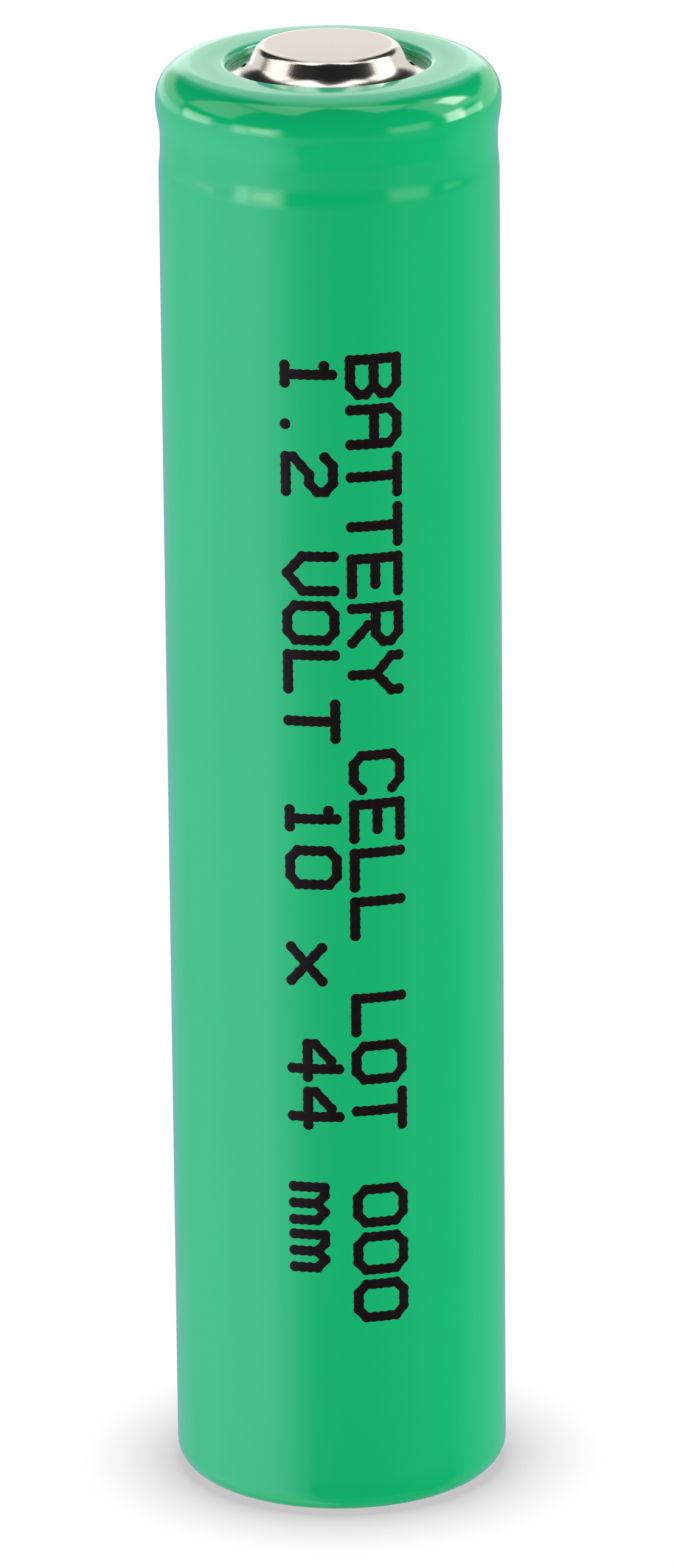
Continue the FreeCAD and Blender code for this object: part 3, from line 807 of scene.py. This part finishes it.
ink_copies = []
for text, line_top, line_start in LINES:
    for index, letter in enumerate(text):
        thrown = drops(letter)
        for drop_at in sorted(thrown):
            ink_copies.append(stamp(drop, flat_place(line_top, line_start, index, drop_at)))
        for first, second in links(thrown):
            start = flat_place(line_top, line_start, index, first)
            finish = flat_place(line_top, line_start, index, second)
            run = finish - start
            turn = math.atan2(run.x, run.z)
            ink_copies.append(stamp(link, (start + finish) / 2, turn, run.length / MM))
print("drops and links:", len(ink_copies))

# %% Roll the print on
bpy.ops.object.select_all(action="DESELECT")
for copy in ink_copies:
    copy.select_set(True)
bpy.context.view_layer.objects.active = ink_copies[0]
bpy.ops.object.join()
ink = bpy.context.object
ink.name = "ink_print"
ink.data.name = "ink_print"
bpy.ops.object.transform_apply(location=True, rotation=True, scale=True)
bpy.data.objects.remove(drop)
bpy.data.objects.remove(link)
for corner in ink.data.vertices:
    angle = corner.co.x / (BODY_RADIUS * MM)
    radius = INK_SEAT * MM - corner.co.y
    corner.co.x = radius * math.sin(angle)
    corner.co.y = -radius * math.cos(angle)
smooth(ink, 80.0)
print("ink faces:", len(ink.data.polygons))

# %% [markdown]
# ## Finishes
#
# Each finish starts as the shader's own plain values; only what changes over a surface goes through
# nodes. Patterns read Object coordinates, which are metres here, so scales look large: a scale of 1000
# gives a pattern about a millimetre across.

# %% A finish and its patterns
class Finish(Graph):
    """A material with one Principled shader, whose varying inputs are wired in afterwards."""

    def __init__(self, name, constants):
        self.material = bpy.data.materials.new(name)
        super().__init__(self.material)
        self.place = self.node("ShaderNodeTexCoord", output=3)
        self.shader = self.node("ShaderNodeBsdfPrincipled", sockets=constants)
        self.node("ShaderNodeOutputMaterial", sockets={"Surface": self.shader})

    def feed(self, name, wire):
        """Wires a varying value into one of the shader's inputs."""
        self.tree.links.new(wire.socket, self.shader.socket.node.inputs[name])

    def stretched(self, scale):
        """Object coordinates scaled along each axis."""
        return self.node("ShaderNodeMapping", sockets={"Vector": self.place, "Scale": scale})

    def noise(self, scale, detail=3.0, place=None):
        """Cloudy noise between 0 and 1."""
        sockets = {"Vector": place or self.place, "Scale": scale, "Detail": detail}
        return self.node("ShaderNodeTexNoise", sockets=sockets)

    def axis(self, index):
        """One coordinate of the place, in metres."""
        return self.part_of(self.place, index)

    def from_axis(self):
        """Distance from the cell's axis, in metres."""
        flat = self.node("ShaderNodeVectorMath", {"operation": "MULTIPLY"}, {0: self.place, 1: (1, 1, 0)})
        return self.node("ShaderNodeVectorMath", {"operation": "LENGTH"}, {0: flat}, output=1)

    def bump(self, height, strength, distance):
        """Wires a height into the shader's normal; distance is in metres."""
        sockets = {"Height": height, "Strength": strength, "Distance": distance}
        self.feed("Normal", self.node("ShaderNodeBump", sockets=sockets))


def give(piece, finish):
    """Puts a finish on a piece."""
    piece.data.materials.clear()
    piece.data.materials.append(finish.material)


print("finish helpers ready")

# %% [markdown]
# ### Green film
#
# Glossy PVC: the colour is deep, the reflection is a thin clear veil, and slow ripples make the edges of
# the soft boxes wander. The colour drifts by a few percent, as pigment in stretched film does. The upper
# face gets a paler green: painted light, standing for the light and sheen that face catches.

# %% Film finish
FILM_GREEN = (0.001, 0.375, 0.125, 1.0)
FILM_PALE = (0.003, 0.405, 0.14, 1.0)
# painted light: a paler green on the upper face, standing for the light and sheen it catches
FILM_TOP_LIT = (0.055, 0.49, 0.27, 1.0)
TOP_LIT_LOW = FACE_HEIGHT - 0.06
TOP_LIT_HIGH = FACE_HEIGHT + 0.2
TOP_LIT_EDGE = 0.12

film = Finish("green_film", {"IOR": 1.5, "Specular IOR Level": 0.5})
drift = film.noise(260.0, 3.0, film.stretched((1.0, 1.0, 0.35)))
# mask of the painted light and sheen on the upper face
top_lit = film.between(film.axis(2), TOP_LIT_LOW * MM, TOP_LIT_HIGH * MM, TOP_LIT_EDGE * MM)
barrel_green = film.mix(drift, FILM_GREEN, FILM_PALE)
film.feed("Base Color", film.mix(top_lit, barrel_green, FILM_TOP_LIT))
haze = film.noise(900.0, 4.0)
film.feed("Roughness", haze * 0.04 + 0.08)
ripple = film.noise(330.0, 2.0, film.stretched((1.0, 1.0, 0.4)))
grain = film.noise(9000.0, 2.0)
film.bump(ripple + grain * 0.02, 0.35, 0.05 * MM)
give(sleeve, film)
print("film nodes:", len(film.tree.nodes))

# %% [markdown]
# ### Nickel
#
# The button is nickel-plated steel. Its crown is pressed flat and looks matt and finely grained; the
# bend and wall are bright. The can has the same plating with marks of the drawing press round its base.

# %% Nickel finishes
NICKEL_WARM = (0.78, 0.735, 0.68, 1.0)
NICKEL_DULL = (0.66, 0.625, 0.58, 1.0)
CROWN_FLAT = 1.9
PRESS_MARK_PITCH = 0.11

plated = Finish("plated_button", {"Metallic": 1.0})
reach = plated.from_axis()
crown_mask = plated.band(reach, 0.0, CROWN_FLAT * MM, 0.12 * MM)
speckle = plated.noise(14000.0, 3.0)
plated.feed("Base Color", plated.mix(speckle * 0.6 + crown_mask * 0.3, NICKEL_WARM, NICKEL_DULL))
plated.feed("Roughness", crown_mask * 0.24 + speckle * 0.06 + 0.15)
plated.bump(speckle, 0.25, 0.008 * MM)
give(button, plated)

drawn = Finish("drawn_nickel", {"Metallic": 1.0})
phase = drawn.from_axis() * (2 * math.pi / (PRESS_MARK_PITCH * MM))
press_marks = drawn.node("ShaderNodeMath", {"operation": "SINE"}, {0: phase})
stain = drawn.noise(700.0, 4.0)
drawn.feed("Base Color", drawn.mix(stain, (0.70, 0.68, 0.64, 1.0), (0.56, 0.545, 0.52, 1.0)))
drawn.feed("Roughness", stain * 0.18 + 0.24)
drawn.bump(press_marks * 0.5 + drawn.noise(6000.0, 3.0), 0.2, 0.006 * MM)
give(can, drawn)
print("nickel finishes:", plated.material.name, drawn.material.name)

# %% [markdown]
# ### Ink and rubber
#
# The ink dries to a brown black that is duller than the film. The rubber of the plug is black with a
# faint bloom.

# %% Ink and rubber finishes
black_ink = Finish("coder_ink", {"IOR": 1.45, "Specular IOR Level": 0.2})
soak = black_ink.noise(2600.0, 3.0)
black_ink.feed("Base Color", black_ink.mix(soak, (0.006, 0.001, 0.002, 1.0), (0.012, 0.003, 0.005, 1.0)))
black_ink.feed("Roughness", soak * 0.2 + 0.42)
give(ink, black_ink)

soft_black = Finish("vent_rubber", {"IOR": 1.52})
bloom = soft_black.noise(3000.0, 4.0)
soft_black.feed("Base Color", soft_black.mix(bloom, (0.018, 0.018, 0.019, 1.0), (0.045, 0.044, 0.042, 1.0)))
soft_black.feed("Roughness", bloom * 0.15 + 0.6)
soft_black.bump(soft_black.noise(12000.0, 2.0), 0.3, 0.01 * MM)
give(plug, soft_black)
print("ink and rubber done")

# %% [markdown]
# ### The inner pieces
#
# The rest of the cell stays as the CAD model has it and only needs its materials: pressed paste, alloy
# powder, felt, nylon, bitumen, board and bare nickel strip. One function makes a two-tone grained finish,
# because all of these are plain materials that differ in colour, grain size and roughness.

# %% Finishes of the inner pieces
def grained(name, light_tone, dark_tone, scale, rough, relief, metallic=0.0):
    """A two-tone grained finish; rough is (least, extra) roughness, and relief is in millimetres."""
    finish = Finish(name, {"Metallic": metallic})
    grain = finish.noise(scale, 4.0)
    finish.feed("Base Color", finish.mix(grain, light_tone + (1.0,), dark_tone + (1.0,)))
    finish.feed("Roughness", grain * rough[1] + rough[0])
    finish.bump(grain, 0.5, relief * MM)
    return finish


strip = grained("rolled_nickel", (0.72, 0.70, 0.67), (0.60, 0.585, 0.56), 5000.0, (0.25, 0.15), 0.004, 1.0)
paste = grained("positive_paste", (0.075, 0.085, 0.078), (0.03, 0.036, 0.033), 6000.0, (0.75, 0.2), 0.03)
alloy = grained("alloy_powder", (0.07, 0.07, 0.075), (0.022, 0.022, 0.025), 9000.0, (0.65, 0.25), 0.02)
felt = grained("separator_felt", (0.86, 0.86, 0.84), (0.68, 0.68, 0.66), 8000.0, (0.85, 0.1), 0.03)
nylon = grained("gasket_nylon", (0.80, 0.79, 0.72), (0.70, 0.69, 0.62), 2500.0, (0.35, 0.15), 0.004)
bitumen = grained("sealant_bitumen", (0.03, 0.026, 0.022), (0.012, 0.010, 0.009), 3500.0, (0.2, 0.3), 0.01)
board = grained("washer_board", (0.88, 0.87, 0.83), (0.78, 0.76, 0.71), 7000.0, (0.8, 0.15), 0.01)
sheet_white = grained("insulator_sheet", (0.86, 0.87, 0.88), (0.78, 0.79, 0.81), 3000.0, (0.4, 0.15), 0.004)
amber = grained("insulating_tape", (0.80, 0.52, 0.14), (0.70, 0.42, 0.10), 4000.0, (0.25, 0.1), 0.003)
INNER_FINISHES = {
    "lid_plate": drawn,
    "lead_tab": strip,
    "collector_disc": strip,
    "edge_ribbon": strip,
    "positive_electrode": paste,
    "negative_electrode": alloy,
    "inner_separator": felt,
    "outer_separator": felt,
    "sealing_gasket": nylon,
    "sealant_film": bitumen,
    "top_washer": board,
    "upper_insulator": sheet_white,
    "lower_insulator": sheet_white,
    "lead_tape": amber,
    "shrink_sleeve": film,
    "terminal_cap": plated,
    "steel_can": drawn,
    "vent_plug": soft_black,
}
for node, finish in INNER_FINISHES.items():
    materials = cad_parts[node].data.materials
    materials.clear()
    materials.append(finish.material)
print("nodes with a finish:", len(INNER_FINISHES), "of", len(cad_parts))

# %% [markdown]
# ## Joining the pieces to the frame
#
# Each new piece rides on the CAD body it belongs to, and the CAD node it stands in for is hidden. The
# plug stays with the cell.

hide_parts("shrink_sleeve")
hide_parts("terminal_cap")
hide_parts("steel_can")
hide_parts("vent_plug")
for piece in (sleeve, button, can, plug, ink):
    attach(piece, "cell")
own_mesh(plug)
